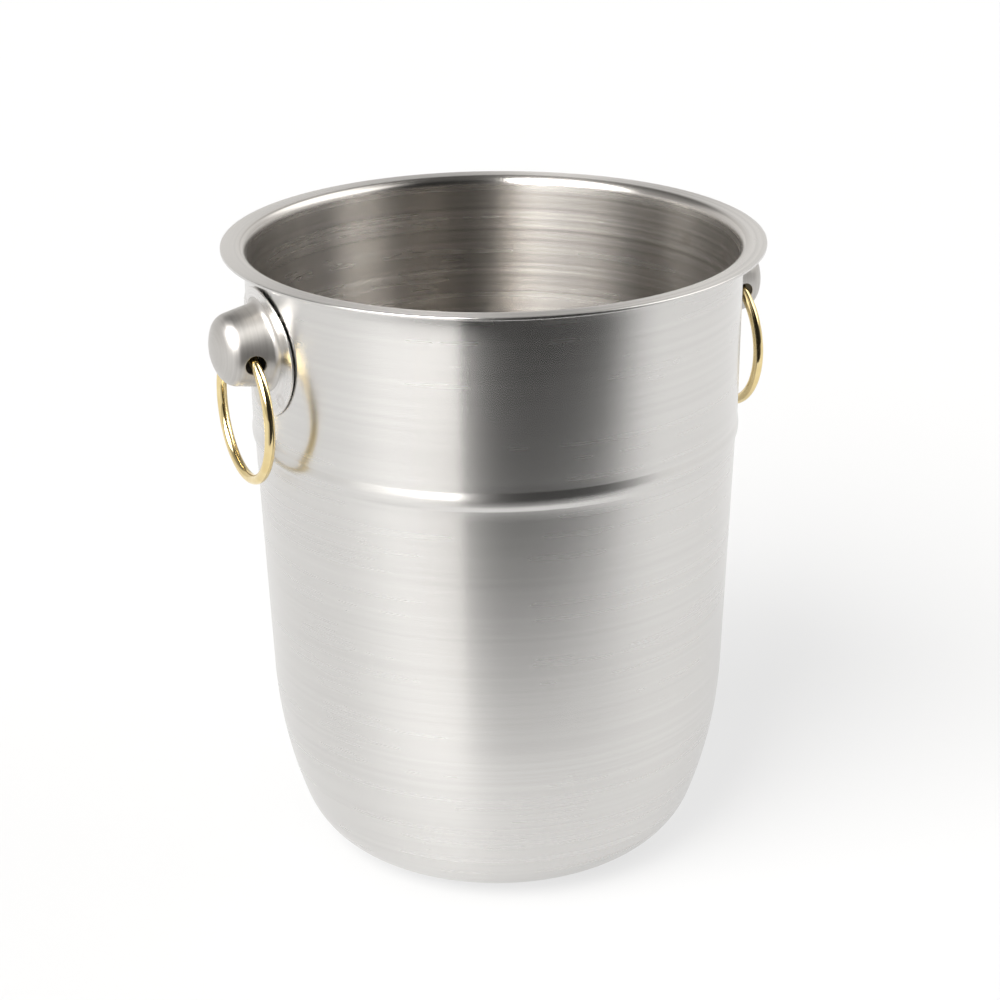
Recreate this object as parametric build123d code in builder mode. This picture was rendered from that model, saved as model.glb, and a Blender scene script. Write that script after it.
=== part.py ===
"""Champagne bucket with two ring handles.

A deep-drawn steel bucket carries two opposite handles. Each handle is a bent round backplate that
is spot-welded to the wall, a hollow knob brazed on the backplate, and a brass ring that hangs
through two cross holes in the knob.

Millimetres, +Z up, origin at the centre of the base, handles on the X axis.
"""
import math
import os

from build123d import *

# ---- driving dimensions: bucket -------------------------------------------------------------
height = 250.0            # base to rim
rim_radius = 105.0        # outer edge of the flat rim
sheet = 1.2               # sheet thickness of the bucket
rim_bend = 2.4            # bend under the rim, measured on the outside of the wall
rim_edge_round = 0.35     # deburred edge of the rim
bead_top_z = 180.8        # upper line of the raised band
bead_bottom_z = 173.1     # lower line of the raised band
upper_radius = 95.1       # outside of the wall at the band's upper line
lower_radius = 94.5       # outside of the wall at the band's lower line
bead_rise = 0.35          # how far the band stands out past the upper wall
upper_taper = 1.0         # degrees from upright, wall above the band
lower_taper = 2.4         # degrees from upright, wall below the band
flank_radius = 180.0      # large curve that draws the wall in
heel_radius = 34.0        # smaller curve down to the flat base
heel_angle = 70.0         # slope in degrees where the two curves meet

# ---- driving dimensions: handles ------------------------------------------------------------
handle_z = 218.0          # height of the backplate's centre
handle_tilt = 2.0         # degrees that the handle looks down
plate_radius = 24.8       # round backplate
plate_sheet = 0.8         # sheet thickness of backplate
plate_gap = 0.5           # space behind the middle of the backplate
plate_edge_round = 0.35
weld_circle = 21.5        # radius of the circle of spot welds
weld_radius = 2.0
weld_count = 4
knob_rise = 3.0           # knob axis above the middle of the backplate
knob_root_radius = 16.4   # outside of the knob at its foot
knob_reach = 20.3         # bucket wall to the tip of the knob
knob_taper = 10.9         # degrees
knob_corner = 7.1         # rounded shoulder of the knob
knob_crown = 21.4         # radius of the domed end
knob_sheet = 1.0
knob_foot_round = 2.4     # brazed fillet round the foot of the knob
hole_reach = 8.2          # bucket wall to the cross holes
hole_radius = 3.8
hole_edge_round = 0.25
ring_radius = 26.0        # centre line of the ring
wire_radius = 2.0         # half the thickness of the ring
ring_rest = 0.3           # the ring lies this far below the middle of the holes

# ---- worked out from the driving dimensions ---------------------------------------------------
wall_slope = math.radians(upper_taper)
flank_angle = math.radians(90.0 - lower_taper)
heel_slope = math.radians(heel_angle)
flank_top_z = (heel_radius * (1 - math.cos(heel_slope))
               + flank_radius * (math.cos(heel_slope) - math.cos(flank_angle)))
flank_top_r = lower_radius - (bead_bottom_z - flank_top_z) / math.tan(flank_angle)
base_radius = (flank_top_r - flank_radius * (math.sin(flank_angle) - math.sin(heel_slope))
               - heel_radius * math.sin(heel_slope))


def wall_radius(z):
    """Outside radius of the wall above the raised band."""
    return upper_radius + (z - bead_top_z) * math.tan(wall_slope)


def on_arc(centre, radius, slope):
    """Point on an arc of the wall, where its slope from level is the given angle."""
    return (centre[0] + radius * math.sin(slope), centre[1] - radius * math.cos(slope))


def wall_face(inset):
    """Lines from the middle of the base up to the edge of the rim, inset from the outside."""
    heel_centre = (base_radius, heel_radius)
    flank_centre = on_arc(heel_centre, heel_radius - flank_radius, heel_slope)
    bend_radius = rim_bend + inset
    bend_z = height - sheet - rim_bend
    bend_centre = (wall_radius(bend_z) + rim_bend / math.cos(wall_slope), bend_z)
    crest = (upper_radius + bead_rise - inset, (bead_top_z + bead_bottom_z) / 2)
    heel_start = (base_radius, inset)
    heel_end = on_arc(heel_centre, heel_radius - inset, heel_slope)
    heel_middle = on_arc(heel_centre, heel_radius - inset, heel_slope / 2)
    flank_middle = on_arc(flank_centre, flank_radius - inset, (heel_slope + flank_angle) / 2)
    flank_end = on_arc(flank_centre, flank_radius - inset, flank_angle)
    bend_start = (bend_centre[0] - bend_radius * math.cos(wall_slope),
                  bend_centre[1] + bend_radius * math.sin(wall_slope))
    bend_half = math.radians(135.0)
    bend_middle = (bend_centre[0] + bend_radius * math.cos(bend_half),
                   bend_centre[1] + bend_radius * math.sin(bend_half))
    bend_end = (bend_centre[0], height - sheet + inset)
    Line((0, inset), heel_start)
    ThreePointArc(heel_start, heel_middle, heel_end)
    ThreePointArc(heel_end, flank_middle, flank_end)
    Line(flank_end, (lower_radius - inset, bead_bottom_z))
    ThreePointArc((lower_radius - inset, bead_bottom_z), crest, (upper_radius - inset, bead_top_z))
    Line((upper_radius - inset, bead_top_z), bend_start)
    ThreePointArc(bend_start, bend_middle, bend_end)
    Line(bend_end, (rim_radius, bend_end[1]))


# ---- bucket: one deep-drawn shell with a rolled band and a flat rim -----------------------------
with BuildPart() as bucket_shell:
    with BuildSketch(Plane.XZ):
        with BuildLine():
            wall_face(0)
            wall_face(sheet)
            Line((0, 0), (0, sheet))
            Line((rim_radius, height - sheet), (rim_radius, height))
        make_face()
    revolve(axis=Axis.Z)
    rim_edges = bucket_shell.edges().filter_by(GeomType.CIRCLE)
    fillet(rim_edges.filter_by(lambda e: abs(e.radius - rim_radius) < 0.01), rim_edge_round)

# The same outside shape as a solid block, to trim the welds to the wall.
with BuildPart() as bucket_block:
    with BuildSketch(Plane.XZ):
        with BuildLine():
            wall_face(0)
            Polyline((rim_radius, height - sheet), (rim_radius, height), (0, height), (0, 0))
        make_face()
    revolve(axis=Axis.Z)

# ---- handle frame: outward along the knob, up along the backplate ---------------------------------
tilt = math.radians(handle_tilt)
outward = Vector(math.cos(tilt), 0, -math.sin(tilt))
upward = Vector(math.sin(tilt), 0, math.cos(tilt))
handle_origin = Vector(wall_radius(handle_z), 0, handle_z)
handle_plane = Plane(origin=handle_origin, x_dir=(0, 1, 0), z_dir=outward)
bend_axis_point = handle_origin - outward * wall_radius(handle_z)
plate_inner = wall_radius(handle_z) + plate_gap
plate_outer = plate_inner + plate_sheet
plate_plane = Plane(origin=bend_axis_point, x_dir=outward, z_dir=upward)
knob_centre = handle_origin + upward * knob_rise
knob_plane = Plane(origin=knob_centre, x_dir=upward, z_dir=upward.cross(outward))
hole_centre = handle_origin + outward * hole_reach
hinge_z = hole_centre.Z - ring_rest

with BuildPart() as right_backplate:
    with BuildSketch(handle_plane.offset(-plate_radius / 2)):
        Circle(plate_radius)
    extrude(amount=plate_radius)
    with BuildSketch(plate_plane.offset(-1.5 * plate_radius)):
        Circle(plate_outer)
        Circle(plate_inner, mode=Mode.SUBTRACT)
    extrude(amount=3 * plate_radius, mode=Mode.INTERSECT)
    fillet(right_backplate.edges(), plate_edge_round)


def knob_outline(inset):
    """Half section of the knob: tapered side, rounded shoulder and domed end."""
    taper = math.radians(knob_taper)
    crown_h = knob_reach - knob_crown
    crown = knob_crown - inset
    corner = knob_corner - inset
    # The shoulder's centre is knob_corner inside the side and knob_crown - knob_corner from the
    # crown's centre: solve for its height above the foot.
    side_r = knob_root_radius - knob_corner / math.cos(taper)
    a = 1 + math.tan(taper) ** 2
    b = -2 * (side_r * math.tan(taper) + crown_h)
    c = side_r ** 2 + crown_h ** 2 - (knob_crown - knob_corner) ** 2
    shoulder_h = (-b + math.sqrt(b * b - 4 * a * c)) / (2 * a)
    shoulder_r = side_r - shoulder_h * math.tan(taper)
    meet = math.atan2(shoulder_h - crown_h, shoulder_r)
    middle = (taper + meet) / 2
    foot_r = knob_root_radius - inset / math.cos(taper) + knob_reach * math.tan(taper)
    side_top = (shoulder_r + corner * math.cos(taper), shoulder_h + corner * math.sin(taper))
    shoulder_top = (shoulder_r + corner * math.cos(meet), shoulder_h + corner * math.sin(meet))
    shoulder_mid = (shoulder_r + corner * math.cos(middle), shoulder_h + corner * math.sin(middle))
    crown_mid_angle = (meet + math.pi / 2) / 2
    crown_mid = (crown * math.cos(crown_mid_angle), crown_h + crown * math.sin(crown_mid_angle))
    Line((foot_r, -knob_reach), side_top)
    ThreePointArc(side_top, shoulder_mid, shoulder_top)
    ThreePointArc(shoulder_top, crown_mid, (0, crown_h + crown))
    Polyline((0, crown_h + crown), (0, -knob_reach), (foot_r, -knob_reach))


with BuildPart() as right_knob:
    with BuildSketch(knob_plane):
        with BuildLine():
            knob_outline(0)
        make_face()
    revolve(axis=Axis(knob_centre, outward))
    # A block with the backplate's outer face stands in while the foot is rounded.
    with BuildSketch(plate_plane.offset(-1.5 * plate_radius)):
        Circle(plate_outer)
    stand_in = extrude(amount=3 * plate_radius)
    foot = right_knob.edges().filter_by(GeomType.BSPLINE)
    fillet(foot, knob_foot_round)
    add(stand_in, mode=Mode.SUBTRACT)
    with BuildSketch(knob_plane):
        with BuildLine():
            knob_outline(knob_sheet)
        make_face()
    revolve(axis=Axis(knob_centre, outward), mode=Mode.SUBTRACT)
    with BuildSketch(Plane(origin=hole_centre, x_dir=(1, 0, 0), z_dir=(0, 1, 0))):
        Circle(hole_radius)
    extrude(amount=2 * knob_root_radius, both=True, mode=Mode.SUBTRACT)
    # Deburred outer edges of the cross holes.
    hole_edges = right_knob.edges().filter_by(
        lambda e: e.length < 8 * hole_radius and abs(e.center().Y) > hole_radius)
    hole_edges = hole_edges.group_by(lambda e: round(abs(e.center().Y), 1))[-1]
    fillet(hole_edges, hole_edge_round)

# ---- spot welds: nuggets that bridge the space between backplate and wall ---------------------------
with BuildPart() as right_spot_welds:
    with BuildSketch(handle_plane.offset(-plate_radius / 2)):
        with PolarLocations(weld_circle, weld_count, start_angle=180.0 / weld_count):
            Circle(weld_radius)
    extrude(amount=plate_radius)
    with BuildSketch(plate_plane.offset(-1.5 * plate_radius)):
        Circle(plate_inner)
    extrude(amount=3 * plate_radius, mode=Mode.INTERSECT)
    add(bucket_block.part, mode=Mode.SUBTRACT)

# ---- ring: round brass wire through both cross holes ---------------------------------------------------
# The ring's centre line passes through the middle of the knob's sheet at both holes.
hole_knob_radius = knob_root_radius - hole_reach * math.tan(math.radians(knob_taper))
hinge_drop = (hole_centre - knob_centre).dot(upward) * -1 + ring_rest
half_chord = math.sqrt(hole_knob_radius ** 2 - hinge_drop ** 2) - knob_sheet / 2
ring_z = hinge_z - math.sqrt(ring_radius ** 2 - half_chord ** 2)

with BuildPart() as right_ring:
    with BuildSketch(Plane(origin=(hole_centre.X, 0, ring_z), x_dir=(1, 0, 0), z_dir=(0, -1, 0))):
        with Locations((0, ring_radius)):
            Circle(wire_radius)
    revolve(axis=Axis((hole_centre.X, 0, ring_z), (1, 0, 0)))

# ---- left handle: the same pieces, mirrored --------------------------------------------------------------
with BuildPart() as left_backplate:
    add(mirror(right_backplate.part, about=Plane.YZ, mode=Mode.PRIVATE))

with BuildPart() as left_knob:
    add(mirror(right_knob.part, about=Plane.YZ, mode=Mode.PRIVATE))

with BuildPart() as left_spot_welds:
    add(mirror(right_spot_welds.part, about=Plane.YZ, mode=Mode.PRIVATE))

with BuildPart() as left_ring:
    add(mirror(right_ring.part, about=Plane.YZ, mode=Mode.PRIVATE))

# ---- one STEP file per piece --------------------------------------------------------------------------------
pieces = {
    "bucket_shell": bucket_shell,
    "left_backplate": left_backplate,
    "left_knob": left_knob,
    "left_spot_welds": left_spot_welds,
    "left_ring": left_ring,
    "right_backplate": right_backplate,
    "right_knob": right_knob,
    "right_spot_welds": right_spot_welds,
    "right_ring": right_ring,
}
os.makedirs("parts", exist_ok=True)
for name, piece in pieces.items():
    piece.part.label = name
    export_step(piece.part, f"parts/{name}.step")

print(f"base radius {base_radius:.2f}, hinge axis at x {hole_centre.X:.2f}, z {hinge_z:.2f}")
print(f"ring centre z {ring_z:.2f}, half chord {half_chord:.2f}")
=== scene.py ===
"""Looks of the champagne bucket: a brushed steel bucket with two brass ring handles.

Metres, in the frame of the CAD model: +Z up, origin at the centre of the base, handles on X.
"""
import math

import bpy
from mathutils import Matrix, Vector


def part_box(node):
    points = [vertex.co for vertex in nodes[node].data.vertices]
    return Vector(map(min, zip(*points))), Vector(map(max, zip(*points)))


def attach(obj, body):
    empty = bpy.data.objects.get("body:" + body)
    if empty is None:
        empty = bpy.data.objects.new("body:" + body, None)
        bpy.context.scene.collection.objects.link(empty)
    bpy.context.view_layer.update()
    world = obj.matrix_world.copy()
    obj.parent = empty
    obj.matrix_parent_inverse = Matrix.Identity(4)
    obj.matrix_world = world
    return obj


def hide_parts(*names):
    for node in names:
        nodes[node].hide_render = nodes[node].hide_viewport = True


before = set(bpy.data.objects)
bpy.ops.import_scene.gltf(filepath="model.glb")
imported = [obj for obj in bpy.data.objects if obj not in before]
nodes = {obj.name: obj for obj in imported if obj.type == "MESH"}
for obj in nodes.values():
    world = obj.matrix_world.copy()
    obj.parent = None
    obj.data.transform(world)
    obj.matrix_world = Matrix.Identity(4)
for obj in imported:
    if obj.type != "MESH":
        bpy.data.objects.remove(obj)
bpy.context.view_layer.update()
MM = 0.001

# ---- dimensions of the bucket, in millimetres ------------------------------------------------
HEIGHT = 250.0
RIM_RADIUS = 105.0
SHEET = 1.2
RIM_BEND = 2.4
RIM_EDGE_ROUND = 0.35
BEAD_TOP_Z = 180.8
BEAD_BOTTOM_Z = 173.1
UPPER_RADIUS = 95.1
LOWER_RADIUS = 94.5
WALL_SLOPE = math.radians(1.0)
LOWER_TAPER = 2.4
FLANK_RADIUS = 180.0
FLANK_ANGLE = math.radians(90.0 - LOWER_TAPER)
HEEL_RADIUS = 34.0
HEEL_SLOPE = math.radians(70.0)

# ---- dimensions of the handles, in millimetres -------------------------------------------------
HANDLE_Z = 218.0
WELD_CIRCLE = 21.5
RING_RADIUS = 26.0
WIRE_RADIUS = 2.0

# ---- marks of the welds: from none to full, by distance in metres; and how far out handles are ----
WELD_TINT = (0.0042, 0.0012)
WELD_DIMPLE = (0.0026, 0.0012)
WELD_EDGE_OUT = (0.0036, 0.0022)
WELD_EDGE_IN = (0.0008, 0.0020)
HANDLE_SIDE = 0.06

# ---- steps along the stretches of the bucket's section -----------------------------------------
BASE_STEPS = 16
HEEL_STEPS = 28
FLANK_STEPS = 20
LOWER_WALL_STEPS = 24
BEAD_STEPS = 28
UPPER_WALL_STEPS = 20
BEND_STEPS = 12
RIM_STEPS = 5

# ---- camera: angles in radians, place in metres, lens in millimetres ---------------------------
VIEW_TURN = math.radians(-25.0)
CAMERA_YAW = math.radians(0.087)
CAMERA_PITCH = math.radians(20.994)
CAMERA_ROLL = math.radians(0.551)
CAMERA_PLACE = (0.0, -1.0096, 0.5292)
LENS = 97.5
SENSOR = 36.0

# ---- studio: a light's stops are pairs of azimuth and brightness. The azimuth is in degrees, 0
# towards the camera's side and positive to its right. Heights are the sine of the elevation.
LOW_LIGHT = [(-180, 0.9), (-120, 0.8), (-75, 0.75), (-15, 0.6), (-11, 0.04), (38, 0.04),
             (66, 0.2), (90, 0.8), (180, 0.9)]
HIGH_LIGHT = [(-180, 0.12), (-110, 0.3), (-78, 0.4), (-68, 9.0), (-45, 18.0), (-25, 27.0),
              (-15, 27.0), (-11, 0.02), (55, 0.02), (70, 2.4), (84, 3.2), (97, 2.4),
              (145, 2.6), (166, 0.12), (180, 0.12)]
BRIGHTEST = 30.0
OVERHEAD_LIGHT = 0.12
OVERHEAD_FADE = (0.80, 0.93)
HIGH_START = 0.32
HIGH_SPAN = 0.18
HIGH_START_BEHIND = 0.09
BEHIND_FADE = (math.radians(100.0), math.radians(140.0))
FLOOR_SIZE = 6.0
FLOOR_GREY = 0.13
FLOOR_GLOW = 0.7

# ---- dark card in front of the bucket: lengths in metres, angles in radians ---------------------
CARD_NEAR = 0.31
CARD_LEFT = -0.62
CARD_RIGHT = 1.1
CARD_BOTTOM = 0.002
CARD_TOP = 0.55
CARD_SPLIT = math.radians(-13.0)
CARD_FADE_LEFT = math.radians(-50.0)
CARD_FADE_RIGHT = (math.radians(42.0), math.radians(83.0))
CARD_FADE_UP = (0.05, 0.28)
CARD_GREY = 0.32
CARD_BLACK = 0.02
CARD_SOLID = 0.97


def place_camera():
    """A long lens that looks 21 degrees down, slightly rolled."""
    forward = Vector((math.sin(CAMERA_YAW) * math.cos(CAMERA_PITCH),
                      math.cos(CAMERA_YAW) * math.cos(CAMERA_PITCH),
                      -math.sin(CAMERA_PITCH)))
    level = Vector((math.cos(CAMERA_YAW), -math.sin(CAMERA_YAW), 0.0))
    down = forward.cross(level)
    right = level * math.cos(CAMERA_ROLL) + down * math.sin(CAMERA_ROLL)
    up = level * math.sin(CAMERA_ROLL) - down * math.cos(CAMERA_ROLL)
    turn = Matrix.Rotation(VIEW_TURN, 4, "Z")
    axes = Matrix((right, up, -forward)).transposed().to_4x4()
    data = bpy.data.cameras.new("camera")
    data.lens = LENS
    data.sensor_width = SENSOR
    data.clip_start = 0.05
    camera = bpy.data.objects.new("camera", data)
    bpy.context.scene.collection.objects.link(camera)
    camera.matrix_world = turn @ Matrix.Translation(CAMERA_PLACE) @ axes
    bpy.context.scene.camera = camera


# ---- meshes ---------------------------------------------------------------------------------------


def line(a, b, count):
    """Points from a, left out, to b."""
    return [(a[0] + (b[0] - a[0]) * i / count, a[1] + (b[1] - a[1]) * i / count)
            for i in range(1, count + 1)]


def arc(centre, radius, start, end, count):
    """Points on an arc after its start, where the angle is 0 on the right and 90 at the top."""
    turns = [start + (end - start) * i / count for i in range(1, count + 1)]
    return [(centre[0] + radius * math.cos(t), centre[1] + radius * math.sin(t)) for t in turns]


def on_arc(centre, radius, slope):
    """The point at a radius, which may be negative, and at an angle from straight down."""
    return (centre[0] + radius * math.sin(slope), centre[1] - radius * math.cos(slope))


def bead_profile():
    """Outside of the raised band from its lower to its upper line.

    It is worked out from slopes, each given as a height and the change of radius with height,
    and the small error left at the lower line is spread over the lower half.
    """
    slopes = [(BEAD_TOP_Z, 0.017), (180.4, -0.17), (178.2, -0.15), (177.2, 0.0), (175.6, 0.12),
              (174.2, 0.50), (173.5, 0.50), (BEAD_BOTTOM_Z, 0.042)]
    tall = BEAD_TOP_Z - BEAD_BOTTOM_Z
    heights = [BEAD_TOP_Z - tall * i / BEAD_STEPS for i in range(BEAD_STEPS + 1)]

    def slope(z):
        for (z0, s0), (z1, s1) in zip(slopes, slopes[1:]):
            if z >= z1:
                return s0 + (s1 - s0) * (z0 - z) / (z0 - z1)
        return slopes[-1][1]

    radii = [UPPER_RADIUS]
    for z0, z1 in zip(heights, heights[1:]):
        radii.append(radii[-1] - slope((z0 + z1) / 2) * (z0 - z1))
    error = LOWER_RADIUS - radii[-1]
    radii = [r + error * max(0.0, i / BEAD_STEPS - 0.5) * 2 for i, r in enumerate(radii)]
    return list(zip(radii, heights))[-2::-1]


def wall_profile(inset):
    """Radius and height from the middle of the base to the flat of the rim."""
    flank_top_z = (HEEL_RADIUS * (1 - math.cos(HEEL_SLOPE))
                   + FLANK_RADIUS * (math.cos(HEEL_SLOPE) - math.cos(FLANK_ANGLE)))
    flank_top_r = LOWER_RADIUS - (BEAD_BOTTOM_Z - flank_top_z) / math.tan(FLANK_ANGLE)
    base_radius = (flank_top_r - FLANK_RADIUS * (math.sin(FLANK_ANGLE) - math.sin(HEEL_SLOPE))
                   - HEEL_RADIUS * math.sin(HEEL_SLOPE))
    heel_centre = (base_radius, HEEL_RADIUS)
    flank_centre = on_arc(heel_centre, HEEL_RADIUS - FLANK_RADIUS, HEEL_SLOPE)
    bend_z = HEIGHT - SHEET - RIM_BEND
    bend_r = UPPER_RADIUS + (bend_z - BEAD_TOP_Z) * math.tan(WALL_SLOPE)
    bend_centre = (bend_r + RIM_BEND / math.cos(WALL_SLOPE), bend_z)
    down = math.radians(-90.0)
    points = [(0.0, inset)]
    points += line(points[-1], (base_radius, inset), BASE_STEPS)
    points += arc(heel_centre, HEEL_RADIUS - inset, down, down + HEEL_SLOPE, HEEL_STEPS)
    points += arc(flank_centre, FLANK_RADIUS - inset, down + HEEL_SLOPE, down + FLANK_ANGLE,
                  FLANK_STEPS)
    points += line(points[-1], (LOWER_RADIUS - inset, BEAD_BOTTOM_Z), LOWER_WALL_STEPS)
    points += [(r - inset, z) for r, z in bead_profile()]
    turned = math.pi - WALL_SLOPE
    radius = RIM_BEND + inset
    start = (bend_centre[0] + radius * math.cos(turned), bend_centre[1] + radius * math.sin(turned))
    points += line(points[-1], start, UPPER_WALL_STEPS)
    points += arc(bend_centre, radius, turned, math.pi / 2, BEND_STEPS)
    return points


def shell_profile():
    """The whole closed section of the sheet, from the outside of the base to its inside."""
    edge = RIM_RADIUS - RIM_EDGE_ROUND
    under = HEIGHT - SHEET
    outside = wall_profile(0.0)
    outside += line(outside[-1], (edge, under), RIM_STEPS)
    outside += arc((edge, under + RIM_EDGE_ROUND), RIM_EDGE_ROUND, -math.pi / 2, 0.0, RIM_STEPS)
    outside += line(outside[-1], (RIM_RADIUS, HEIGHT - RIM_EDGE_ROUND), 1)
    outside += arc((edge, HEIGHT - RIM_EDGE_ROUND), RIM_EDGE_ROUND, 0.0, math.pi / 2, RIM_STEPS)
    inside = wall_profile(SHEET)
    outside += line(outside[-1], inside[-1], RIM_STEPS)
    return outside + inside[-2::-1]


def mesh_object(name, verts, faces, material):
    """A smooth mesh of one material, placed in the scene."""
    mesh = bpy.data.meshes.new(name)
    mesh.from_pydata(verts, [], faces)
    mesh.materials.append(material)
    mesh.shade_smooth()
    mesh.update()
    piece = bpy.data.objects.new(name, mesh)
    bpy.context.scene.collection.objects.link(piece)
    return piece


def lathe(name, profile, material, steps=320):
    """Turn a section whose first and last points are on the Z axis."""
    verts = [(0.0, 0.0, profile[0][1] * MM)]
    ring = profile[1:-1]
    for r, z in ring:
        for i in range(steps):
            a = 2 * math.pi * i / steps
            verts.append((r * MM * math.cos(a), r * MM * math.sin(a), z * MM))
    verts.append((0.0, 0.0, profile[-1][1] * MM))
    top = len(verts) - 1
    faces = [(0, 1 + (i + 1) % steps, 1 + i) for i in range(steps)]
    for j in range(len(ring) - 1):
        a, b = 1 + j * steps, 1 + (j + 1) * steps
        faces += [(a + i, a + (i + 1) % steps, b + (i + 1) % steps, b + i) for i in range(steps)]
    a = 1 + (len(ring) - 1) * steps
    faces += [(a + i, a + (i + 1) % steps, top) for i in range(steps)]
    return mesh_object(name, verts, faces, material)


def torus(name, centre, material, steps=224, round_steps=40):
    """A wire ring that hangs in the YZ plane."""
    verts, faces = [], []
    for i in range(steps):
        a = 2 * math.pi * i / steps
        for j in range(round_steps):
            b = 2 * math.pi * j / round_steps
            r = (RING_RADIUS + WIRE_RADIUS * math.cos(b)) * MM
            verts.append((centre.x + WIRE_RADIUS * MM * math.sin(b),
                          centre.y + r * math.cos(a), centre.z + r * math.sin(a)))
    for i in range(steps):
        for j in range(round_steps):
            i1, j1 = (i + 1) % steps, (j + 1) % round_steps
            faces.append((i * round_steps + j, i1 * round_steps + j,
                          i1 * round_steps + j1, i * round_steps + j1))
    return mesh_object(name, verts, faces, material)


# ---- material helpers -------------------------------------------------------------------------------


class Nodes:
    """Short names for building a node tree."""

    def __init__(self, tree):
        self.tree = tree

    def new(self, kind, **settings):
        node = self.tree.nodes.new(kind)
        for name, value in settings.items():
            setattr(node, name, value)
        return node

    def link(self, source, target):
        self.tree.links.new(source, target)

    def put(self, value, socket):
        if isinstance(value, bpy.types.NodeSocket):
            self.link(value, socket)
        else:
            socket.default_value = value

    def math(self, operation, *values):
        node = self.new("ShaderNodeMath", operation=operation)
        for value, socket in zip(values, node.inputs):
            self.put(value, socket)
        return node.outputs[0]

    def map_range(self, values, **settings):
        node = self.new("ShaderNodeMapRange", **settings)
        sockets = ("Value", "From Min", "From Max", "To Min", "To Max")
        for value, name in zip(values, sockets):
            self.put(value, node.inputs[name])
        return node.outputs["Result"]

    def smooth(self, value, low, high, to_low=0.0, to_high=1.0):
        values = (value, low, high, to_low, to_high)
        return self.map_range(values, interpolation_type="SMOOTHSTEP")

    def remap(self, value, low, high, to_low, to_high):
        return self.map_range((value, low, high, to_low, to_high), clamp=True)

    def blend(self, share, a, b):
        """The number a where share is 0 and b where it is 1."""
        rest = self.math("SUBTRACT", 1.0, share)
        return self.math("ADD", self.math("MULTIPLY", a, rest), self.math("MULTIPLY", b, share))

    def weigh(self, a, share_a, b, share_b):
        return self.math("ADD", self.math("MULTIPLY", a, share_a),
                         self.math("MULTIPLY", b, share_b))

    def length(self, a, b):
        return self.math("SQRT", self.weigh(a, a, b, b))

    def noise(self, vector, scale, detail=2.0, roughness=0.5):
        node = self.new("ShaderNodeTexNoise")
        self.link(vector, node.inputs["Vector"])
        node.inputs["Scale"].default_value = scale
        node.inputs["Detail"].default_value = detail
        node.inputs["Roughness"].default_value = roughness
        return node.outputs["Fac"]

    def combine(self, x, y, z):
        node = self.new("ShaderNodeCombineXYZ")
        for value, socket in zip((x, y, z), node.inputs):
            self.put(value, socket)
        return node.outputs[0]

    def mix(self, factor, a, b):
        node = self.new("ShaderNodeMix", data_type="RGBA")
        self.put(factor, node.inputs[0])
        self.put(a, node.inputs[6])
        self.put(b, node.inputs[7])
        return node.outputs[2]

    def xyz(self):
        where = self.new("ShaderNodeTexCoord").outputs["Object"]
        split = self.new("ShaderNodeSeparateXYZ")
        self.link(where, split.inputs[0])
        return split.outputs[0], split.outputs[1], split.outputs[2]


def new_metal(name, roughness, anisotropic, axis):
    """A metal, with its highlight turned round an axis if one is given.

    Returns the material, its nodes and its shader.
    """
    material = bpy.data.materials.new(name)
    material.use_nodes = True
    n = Nodes(material.node_tree)
    shader = material.node_tree.nodes["Principled BSDF"]
    shader.inputs["Metallic"].default_value = 1.0
    shader.inputs["Roughness"].default_value = roughness
    shader.inputs["Anisotropic"].default_value = anisotropic
    shader.inputs["Anisotropic Rotation"].default_value = 0.25
    if axis:
        tangent = n.new("ShaderNodeTangent", direction_type="RADIAL", axis=axis)
        n.link(tangent.outputs[0], shader.inputs["Tangent"])
    return material, n, shader


def bump(n, shader, height, distance):
    node = n.new("ShaderNodeBump")
    node.inputs["Distance"].default_value = distance
    n.link(height, node.inputs["Height"])
    n.link(node.outputs[0], shader.inputs["Normal"])


def weld_spots(n, across, up):
    """Distance in metres from the nearest of the four weld marks of a handle."""
    reach = WELD_CIRCLE * MM * math.sqrt(0.5)
    dx = n.math("SUBTRACT", n.math("ABSOLUTE", across), reach)
    dz = n.math("SUBTRACT", n.math("ABSOLUTE", up), reach)
    return n.length(dx, dz)


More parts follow.
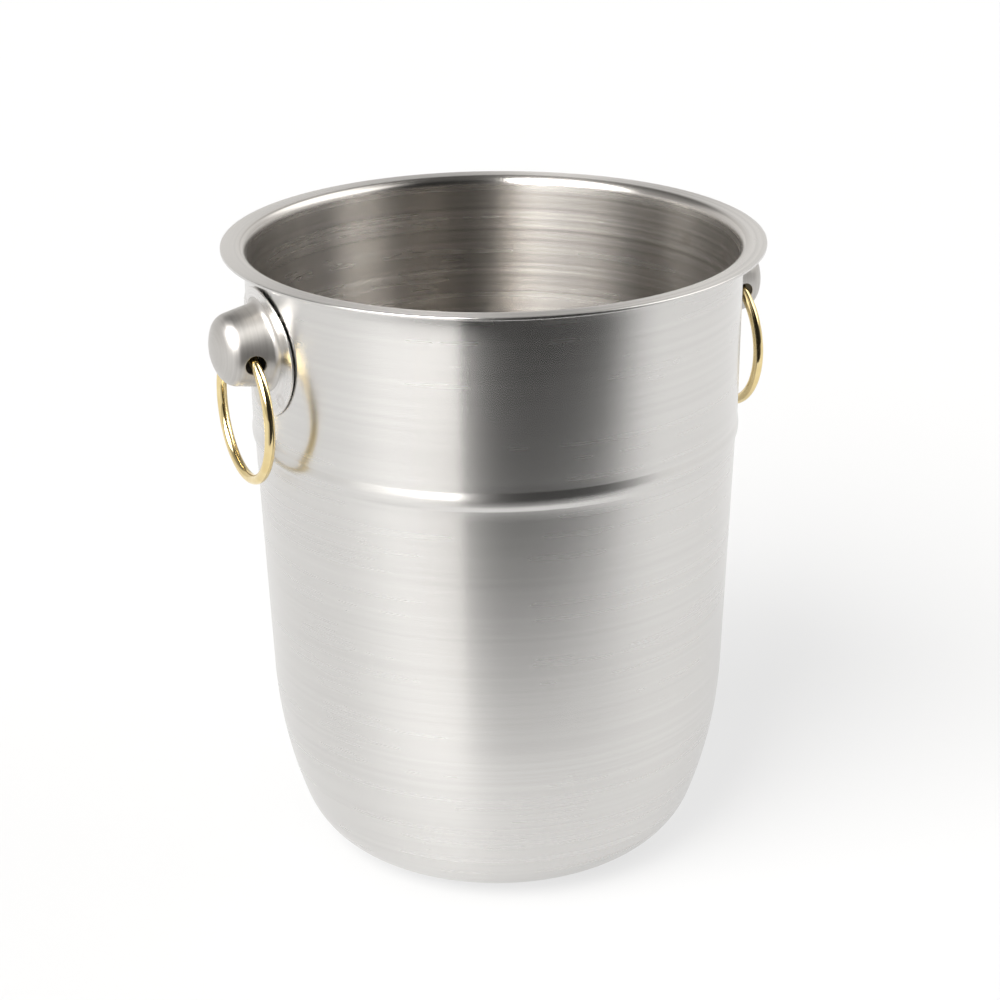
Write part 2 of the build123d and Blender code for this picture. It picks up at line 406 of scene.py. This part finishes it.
def brushed_shell():
    """Steel brushed round the wall, with painted shade that makes the inside darker, and tinted where
    the handles are welded.
    """
    material, n, shader = new_metal("brushed_shell", 0.27, 0.88, "Z")
    x, y, z = n.xyz()
    r = n.length(x, y)
    along = n.math("ADD", r, z)

    def streaks(round_scale, line_scale, detail):
        spot = n.combine(n.math("MULTIPLY", x, round_scale), n.math("MULTIPLY", y, round_scale),
                         n.math("MULTIPLY", along, line_scale))
        return n.noise(spot, 1.0, detail, 0.6)

    fine = streaks(3.0, 560.0, 1.0)
    medium = streaks(1.2, 260.0, 1.0)
    broad = streaks(0.6, 110.0, 1.0)
    cloud = streaks(16.0, 16.0, 3.0)
    grain = n.weigh(fine, 0.6, medium, 0.4)
    facing = n.new("ShaderNodeVectorMath", operation="DOT_PRODUCT")
    n.link(n.new("ShaderNodeNewGeometry").outputs["Normal"], facing.inputs[0])
    n.link(n.combine(x, y, 0.0), facing.inputs[1])
    inner = n.smooth(facing.outputs["Value"], 0.03, -0.03)
    light = n.remap(grain, 0.35, 0.65, 0.0, 1.0)
    colour = n.mix(light, (0.655, 0.645, 0.630, 1), (0.683, 0.673, 0.658, 1))
    # Painted shade: the inside of the hollow gets a darker copy of the same steel.
    inside = n.mix(light, (0.46, 0.44, 0.415, 1), (0.70, 0.675, 0.645, 1))
    colour = n.mix(inner, colour, inside)
    tone = n.remap(n.weigh(broad, 0.5, cloud, 0.5), 0.35, 0.65, 0.0, 0.10)
    colour = n.mix(tone, colour, (0.52, 0.505, 0.485, 1))
    weld = weld_spots(n, y, n.math("SUBTRACT", z, HANDLE_Z * MM))
    beside = n.math("GREATER_THAN", n.math("ABSOLUTE", x), HANDLE_SIDE)
    at_handle = n.math("MULTIPLY", beside, n.smooth(weld, *WELD_TINT))
    colour = n.mix(n.math("MULTIPLY", at_handle, 0.25), colour, (0.26, 0.22, 0.18, 1))
    n.link(colour, shader.inputs["Base Color"])
    n.link(n.remap(n.weigh(medium, 0.6, cloud, 0.4), 0.35, 0.65, 0.266, 0.276),
           shader.inputs["Roughness"])
    bump(n, shader, n.math("MULTIPLY", grain, inner), 0.0000008)
    return material


def satin_knob(centre):
    """Turned and satin polished: fine rings round the knob's axis."""
    material, n, shader = new_metal("satin_knob", 0.38, 0.0, None)
    x, y, z = n.xyz()
    dz = n.math("SUBTRACT", z, centre.z)
    r = n.length(y, dz)
    along = n.math("SUBTRACT", r, n.math("ABSOLUTE", x))
    spot = n.combine(n.math("MULTIPLY", y, 30.0), n.math("MULTIPLY", dz, 30.0),
                     n.math("MULTIPLY", along, 1100.0))
    rings = n.noise(spot, 1.0, 3.0, 0.6)
    cloud = n.noise(n.combine(x, y, z), 110.0, 3.0)
    colour = n.mix(n.remap(rings, 0.3, 0.7, 0.0, 1.0),
                   (0.47, 0.455, 0.435, 1), (0.54, 0.525, 0.505, 1))
    n.link(colour, shader.inputs["Base Color"])
    n.link(n.remap(n.weigh(rings, 0.5, cloud, 0.5), 0.35, 0.65, 0.36, 0.40),
           shader.inputs["Roughness"])
    bump(n, shader, rings, 0.0000008)
    return material


def satin_backplate():
    """Satin sheet with four spot-weld marks that are faint dimples with a dull edge."""
    material, n, shader = new_metal("satin_backplate", 0.26, 0.4, "X")
    x, y, z = n.xyz()
    up = n.math("SUBTRACT", z, HANDLE_Z * MM)
    r = n.length(y, up)
    spot = n.combine(n.math("MULTIPLY", y, 40.0), n.math("MULTIPLY", up, 40.0),
                     n.math("MULTIPLY", r, 1500.0))
    grain = n.noise(spot, 1.0, 3.0, 0.6)
    cloud = n.noise(n.combine(x, y, z), 90.0, 3.0)
    colour = n.mix(n.remap(grain, 0.3, 0.7, 0.0, 1.0),
                   (0.63, 0.615, 0.60, 1), (0.74, 0.73, 0.715, 1))
    weld = weld_spots(n, y, up)
    dimple = n.smooth(weld, *WELD_DIMPLE)
    halo = n.math("MULTIPLY", n.smooth(weld, *WELD_EDGE_OUT), n.smooth(weld, *WELD_EDGE_IN))
    colour = n.mix(n.math("MULTIPLY", halo, 0.22), colour, (0.34, 0.31, 0.28, 1))
    n.link(colour, shader.inputs["Base Color"])
    n.link(n.remap(cloud, 0.35, 0.65, 0.22, 0.32), shader.inputs["Roughness"])
    height = n.math("SUBTRACT", n.math("MULTIPLY", grain, 0.08), dimple)
    bump(n, shader, height, 0.00012)
    return material


def weld_metal():
    """Dull, pitted weld nuggets in the gap behind a backplate."""
    material, n, shader = new_metal("weld", 0.55, 0.0, None)
    x, y, z = n.xyz()
    grit = n.noise(n.combine(x, y, z), 900.0, 4.0, 0.65)
    colour = n.mix(n.remap(grit, 0.3, 0.7, 0.0, 1.0),
                   (0.20, 0.18, 0.16, 1), (0.42, 0.40, 0.37, 1))
    n.link(colour, shader.inputs["Base Color"])
    n.link(n.remap(grit, 0.3, 0.7, 0.45, 0.65), shader.inputs["Roughness"])
    bump(n, shader, grit, 0.00015)
    return material


def brass_ring():
    """Polished brass wire, slightly uneven."""
    material, n, shader = new_metal("brass_ring", 0.1, 0.0, None)
    x, y, z = n.xyz()
    cloud = n.noise(n.combine(x, y, z), 160.0, 3.0)
    fine = n.noise(n.combine(x, y, z), 1400.0, 3.0)
    colour = n.mix(n.remap(cloud, 0.35, 0.65, 0.0, 1.0),
                   (0.78, 0.62, 0.31, 1), (0.84, 0.69, 0.38, 1))
    n.link(colour, shader.inputs["Base Color"])
    n.link(n.remap(n.weigh(cloud, 0.5, fine, 0.5), 0.35, 0.65, 0.06, 0.14),
           shader.inputs["Roughness"])
    bump(n, shader, fine, 0.000006)
    return material


# ---- studio -------------------------------------------------------------------------------------------


def turn_to_view(n, vector):
    """Turn a direction or a place about Z, so that -Y faces the camera's side."""
    node = n.new("ShaderNodeVectorRotate", rotation_type="Z_AXIS")
    n.link(vector, node.inputs["Vector"])
    node.inputs["Angle"].default_value = -VIEW_TURN
    split = n.new("ShaderNodeSeparateXYZ")
    n.link(node.outputs[0], split.inputs[0])
    return split.outputs[0], split.outputs[1], split.outputs[2]


def round_ramp(n, azimuth, stops):
    """Brightness by azimuth in degrees: 0 towards the camera's side, positive to its right."""
    ramp = n.new("ShaderNodeValToRGB")
    ramp.color_ramp.interpolation = "LINEAR"
    elements = ramp.color_ramp.elements
    while len(elements) > 1:
        elements.remove(elements[-1])
    for i, (degrees, level) in enumerate(stops):
        place = (degrees + 180.0) / 360.0
        element = elements[0] if i == 0 else elements.new(place)
        element.position = place
        element.color = (level / BRIGHTEST, level / BRIGHTEST, level / BRIGHTEST, 1.0)
    n.link(n.math("DIVIDE", n.math("ADD", azimuth, math.pi), 2 * math.pi), ramp.inputs[0])
    return n.math("MULTIPLY", ramp.outputs[0], BRIGHTEST)


def studio_world():
    """Bright and dark parts round the bucket, set by direction to shape its reflections.

    There is one set low down and one higher up. The camera itself sees plain white.
    """
    world = bpy.data.worlds.new("studio")
    bpy.context.scene.world = world
    world.use_nodes = True
    n = Nodes(world.node_tree)
    background = world.node_tree.nodes["Background"]
    direction = n.new("ShaderNodeTexCoord").outputs["Generated"]
    x, y, z = turn_to_view(n, direction)
    azimuth = n.math("ARCTAN2", x, n.math("MULTIPLY", y, -1.0))
    low = round_ramp(n, azimuth, LOW_LIGHT)
    high = round_ramp(n, azimuth, HIGH_LIGHT)
    behind = n.smooth(n.math("ABSOLUTE", azimuth), *BEHIND_FADE)
    start = n.math("ADD", HIGH_START, n.math("MULTIPLY", behind, HIGH_START_BEHIND))
    rise = n.smooth(z, start, n.math("ADD", start, HIGH_SPAN))
    level = n.blend(rise, low, high)
    level = n.blend(n.smooth(z, *OVERHEAD_FADE), level, OVERHEAD_LIGHT)
    seen = n.new("ShaderNodeLightPath").outputs["Is Camera Ray"]
    n.link(n.blend(seen, level, 1.0), background.inputs["Strength"])
    background.inputs["Color"].default_value = (1.0, 0.985, 0.965, 1.0)


def stage_mesh(name, verts, faces, material):
    """A mesh of the studio, which is no part of the bucket."""
    piece = mesh_object(name, verts, faces, material)
    return piece


def floor():
    """A plain pale floor that glows a little."""
    material = bpy.data.materials.new("white_floor")
    material.use_nodes = True
    shader = material.node_tree.nodes["Principled BSDF"]
    shader.inputs["Base Color"].default_value = (FLOOR_GREY, FLOOR_GREY, FLOOR_GREY, 1)
    shader.inputs["Emission Color"].default_value = (1.0, 1.0, 1.0, 1)
    shader.inputs["Emission Strength"].default_value = FLOOR_GLOW
    shader.inputs["Roughness"].default_value = 0.9
    shader.inputs["Specular IOR Level"].default_value = 0.0
    corners = [(-1, -1), (1, -1), (1, 1), (-1, 1)]
    verts = [(x * FLOOR_SIZE, y * FLOOR_SIZE, 0) for x, y in corners]
    stage_mesh("floor", verts, [(0, 1, 2, 3)], material)


def card_paint(n, azimuth, z):
    """How bright the card is and how clear, as two sockets.

    It is nearly black to the right of the camera. To the left it is grey and fades outwards
    and upwards.
    """
    right = n.math("GREATER_THAN", azimuth, CARD_SPLIT)
    level = n.math("SUBTRACT", CARD_GREY, n.math("MULTIPLY", right, CARD_GREY - CARD_BLACK))
    clear_right = n.smooth(azimuth, *CARD_FADE_RIGHT)
    solid_left = n.math("MULTIPLY", n.smooth(azimuth, CARD_SPLIT, CARD_FADE_LEFT, CARD_SOLID, 0.0),
                        n.smooth(z, *CARD_FADE_UP, 1.0, 0.0))
    clear_left = n.math("SUBTRACT", 1.0, solid_left)
    return level, n.blend(right, clear_left, clear_right)


def dark_card():
    """An upright card in front of the bucket, seen only in the metal, as its dark band."""
    material = bpy.data.materials.new("front_card")
    material.use_nodes = True
    tree = material.node_tree
    tree.nodes.remove(tree.nodes["Principled BSDF"])
    n = Nodes(tree)
    x, y, z = turn_to_view(n, n.new("ShaderNodeTexCoord").outputs["Object"])
    azimuth = n.math("ARCTAN2", x, n.math("MULTIPLY", y, -1.0))
    level, clearness = card_paint(n, azimuth, z)
    glow = n.new("ShaderNodeEmission")
    glow.inputs["Color"].default_value = (1.0, 0.96, 0.92, 1.0)
    n.link(level, glow.inputs["Strength"])
    clear = n.new("ShaderNodeBsdfTransparent")
    both = n.new("ShaderNodeMixShader")
    n.link(clearness, both.inputs[0])
    n.link(glow.outputs[0], both.inputs[1])
    n.link(clear.outputs[0], both.inputs[2])
    n.link(both.outputs[0], tree.nodes["Material Output"].inputs["Surface"])
    turn = Matrix.Rotation(VIEW_TURN, 3, "Z")
    corners = [(CARD_LEFT, CARD_BOTTOM), (CARD_RIGHT, CARD_BOTTOM),
               (CARD_RIGHT, CARD_TOP), (CARD_LEFT, CARD_TOP)]
    verts = [tuple(turn @ Vector((across, -CARD_NEAR, up))) for across, up in corners]
    piece = stage_mesh("front_card", verts, [(0, 1, 2, 3)], material)
    piece.visible_camera = False
    piece.visible_diffuse = False
    piece.visible_shadow = False
    piece.visible_transmission = False
    piece.visible_volume_scatter = False


# ---- making -------------------------------------------------------------------------------------------
bpy.context.scene.view_settings.view_transform = "Standard"
bpy.context.scene.view_settings.look = "None"
place_camera()
studio_world()
floor()
dark_card()

shell = lathe("bucket_wall", shell_profile(), brushed_shell())
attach(shell, "bucket")
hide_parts("bucket_shell")

brass = brass_ring()
plate_metal = satin_backplate()
weld = weld_metal()
low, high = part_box("right_knob")
knob_metal = satin_knob((low + high) / 2)


def give(node, material):
    """Put a material on a CAD node that is shown as it is."""
    mesh = nodes[node].data
    mesh.materials.clear()
    mesh.materials.append(material)


for side in ("left", "right"):
    low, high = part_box(side + "_ring")
    ring = torus(side + "_wire_ring", (low + high) / 2, brass)
    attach(ring, side + "_ring")
    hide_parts(side + "_ring")
    give(side + "_knob", knob_metal)
    give(side + "_backplate", plate_metal)
    give(side + "_spot_welds", weld)
